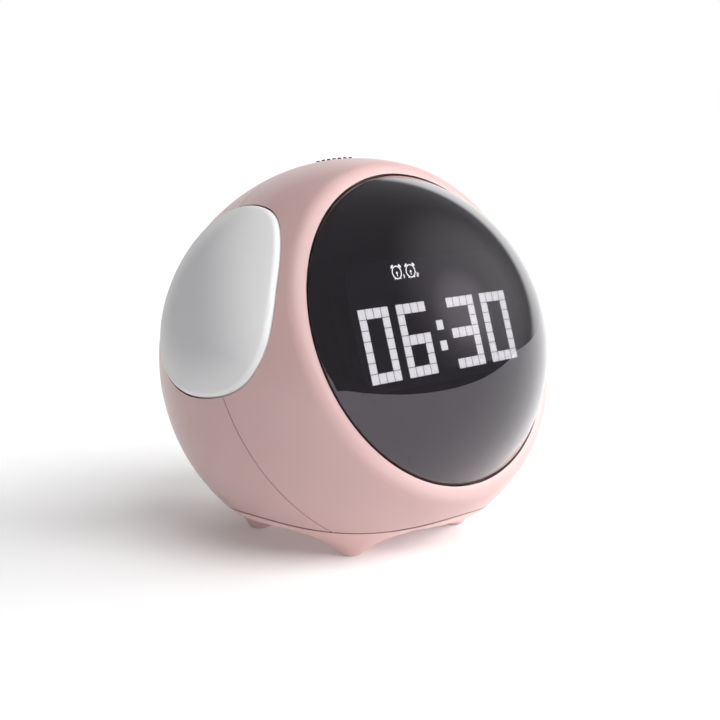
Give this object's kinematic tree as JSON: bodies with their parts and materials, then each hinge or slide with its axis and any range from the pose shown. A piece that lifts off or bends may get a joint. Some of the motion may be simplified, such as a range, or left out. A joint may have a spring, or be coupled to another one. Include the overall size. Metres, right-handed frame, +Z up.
{
  "type": "alarm clock",
  "caption": "Ball-shaped alarm clock on short feet, with a domed dark display window at the front and a press-in night light panel on each side.",
  "frame": {"origin": "on the resting plane, under the middle of the clock", "axes": "+Z up, the display looks towards -Y, +X to the viewer's right from the front"},
  "size_m": [0.1054, 0.0995, 0.0982],
  "materials": {
    "shell_plastic": "satin powder-pink moulded plastic",
    "base_plastic": "satin pink moulded plastic, a little deeper than the shells",
    "ear_plastic": "milky translucent white plastic, soft matte",
    "lens_glaze": "smoked, nearly black transparent plastic, polished",
    "black_plastic": "black moulded plastic",
    "white_plastic": "white moulded plastic",
    "film": "grey diffuser film",
    "board": "green circuit board with solder mask",
    "chips": "black moulded electronic parts",
    "steel": "zinc-plated steel",
    "pad_rubber": "soft grey-pink rubber",
    "key_plastic": "satin pink moulded plastic",
    "cell_wrap": "blue shrink wrap",
    "paper": "dark paper cone",
    "lead": "flexible insulated wire and ribbon"
  },
  "bodies": {
    "root": {"base_screws": "steel", "base_tray": "base_plastic", "battery_cell": "cell_wrap", "battery_cradle": "black_plastic", "battery_leads": "lead", "cradle_screws": "steel", "diffuser_film": "film", "display_frame": "black_plastic", "display_lens": "lens_glaze", "display_ribbon": "lead", "display_screws": "steel", "foot_pads": "pad_rubber", "front_shell": "shell_plastic", "key_board": "board", "key_board_screws": "steel", "key_ribbon": "lead", "key_switches": "chips", "led_board": "board", "left_ear_lead": "lead", "left_ear_leds": "white_plastic", "left_ear_light_board": "board", "left_ear_seat": "white_plastic", "left_ear_seat_screws": "steel", "left_ear_switch": "chips", "lens_gasket": "pad_rubber", "light_grid": "black_plastic", "main_board": "board", "main_board_chips": "chips", "main_board_screws": "steel", "rear_shell": "shell_plastic", "right_ear_lead": "lead", "right_ear_leds": "white_plastic", "right_ear_light_board": "board", "right_ear_seat": "white_plastic", "right_ear_seat_screws": "steel", "right_ear_switch": "chips", "speaker_bracket": "black_plastic", "speaker_cone": "paper", "speaker_frame": "black_plastic", "speaker_gasket": "pad_rubber", "speaker_lead": "lead", "speaker_magnet": "steel", "speaker_mesh": "black_plastic", "speaker_screws": "steel", "usb_socket": "steel"},
    "left_ear_panel": {"left_ear": "ear_plastic", "left_ear_guide_screws": "steel", "left_ear_plunger": "chips"},
    "right_ear_panel": {"right_ear": "ear_plastic", "right_ear_guide_screws": "steel", "right_ear_plunger": "chips"},
    "alarm_key_button": {"alarm_key": "key_plastic", "alarm_key_plunger": "chips"},
    "minus_key_button": {"minus_key": "key_plastic", "minus_key_plunger": "chips"},
    "plus_key_button": {"plus_key": "key_plastic", "plus_key_plunger": "chips"},
    "time_key_button": {"time_key": "key_plastic", "time_key_plunger": "chips"}
  },
  "joints": [
    {"name": "left_ear_press", "type": "slide", "parent": "root", "child": "left_ear_panel", "axis": [0.912, -0.0959, -0.3987], "range_m": [0, 0.0008], "stiffness_N_per_m": 1200, "springref_m": -0.0008},
    {"name": "right_ear_press", "type": "slide", "parent": "root", "child": "right_ear_panel", "axis": [-0.912, -0.0959, -0.3987], "range_m": [0, 0.0008], "stiffness_N_per_m": 1200, "springref_m": -0.0008},
    {"name": "alarm_key_press", "type": "slide", "parent": "root", "child": "alarm_key_button", "axis": [0, -1, 0], "range_m": [0, 0.0004], "stiffness_N_per_m": 800, "springref_m": -0.0005},
    {"name": "minus_key_press", "type": "slide", "parent": "root", "child": "minus_key_button", "axis": [0, -1, 0], "range_m": [0, 0.0004], "stiffness_N_per_m": 800, "springref_m": -0.0005},
    {"name": "plus_key_press", "type": "slide", "parent": "root", "child": "plus_key_button", "axis": [0, -1, 0], "range_m": [0, 0.0004], "stiffness_N_per_m": 800, "springref_m": -0.0005},
    {"name": "time_key_press", "type": "slide", "parent": "root", "child": "time_key_button", "axis": [0, -1, 0], "range_m": [0, 0.0004], "stiffness_N_per_m": 800, "springref_m": -0.0005}
  ]
}
